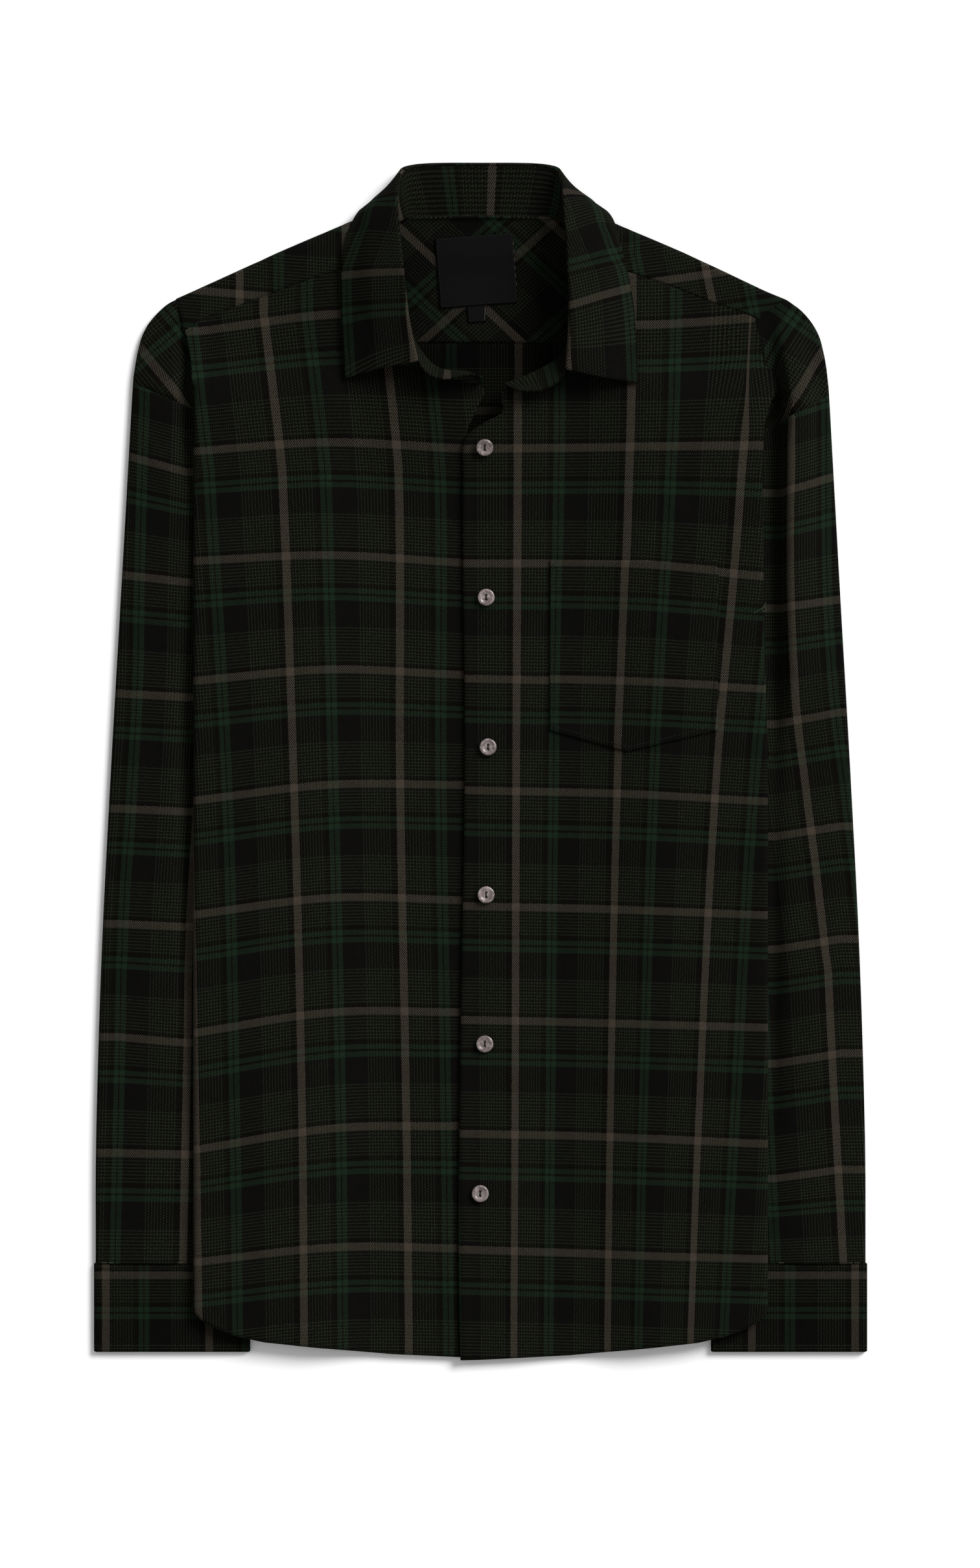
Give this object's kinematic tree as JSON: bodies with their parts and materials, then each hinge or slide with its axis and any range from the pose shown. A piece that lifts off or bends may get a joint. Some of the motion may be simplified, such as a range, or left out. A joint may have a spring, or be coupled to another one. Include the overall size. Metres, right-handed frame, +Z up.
{
  "type": "flannel shirt",
  "caption": "Long-sleeved button-front flannel shirt in a dark plaid, laid flat on its back with the sleeves tucked behind, an open turn-down collar and a chest pocket.",
  "frame": {"origin": "centre of the footprint on the surface that the shirt lies on", "axes": "+X towards the wearer's left sleeve, +Y towards the collar, +Z up from the surface, out of the front"},
  "size_m": [0.517, 0.8, 0.0316],
  "materials": {
    "plaid_flannel": "brushed cotton twill, napped and matt, in a dark green and navy plaid with beige lines",
    "woven_label": "close dark woven tape, plain",
    "shell_button": "pearly pinkish grey, lightly dished"
  },
  "bodies": {
    "root": {"back": "plaid_flannel", "yoke": "plaid_flannel", "front_right": "plaid_flannel", "front_left": "plaid_flannel", "sleeve_right": "plaid_flannel", "sleeve_left": "plaid_flannel", "cuff_right": "plaid_flannel", "cuff_left": "plaid_flannel", "collar_stand": "plaid_flannel", "collar_leaf": "plaid_flannel", "pocket": "plaid_flannel", "neck_label": "woven_label", "size_tab": "woven_label", "button_1": "shell_button", "button_2": "shell_button", "button_3": "shell_button", "button_4": "shell_button", "button_5": "shell_button", "button_6": "shell_button"}
  },
  "joints": []
}
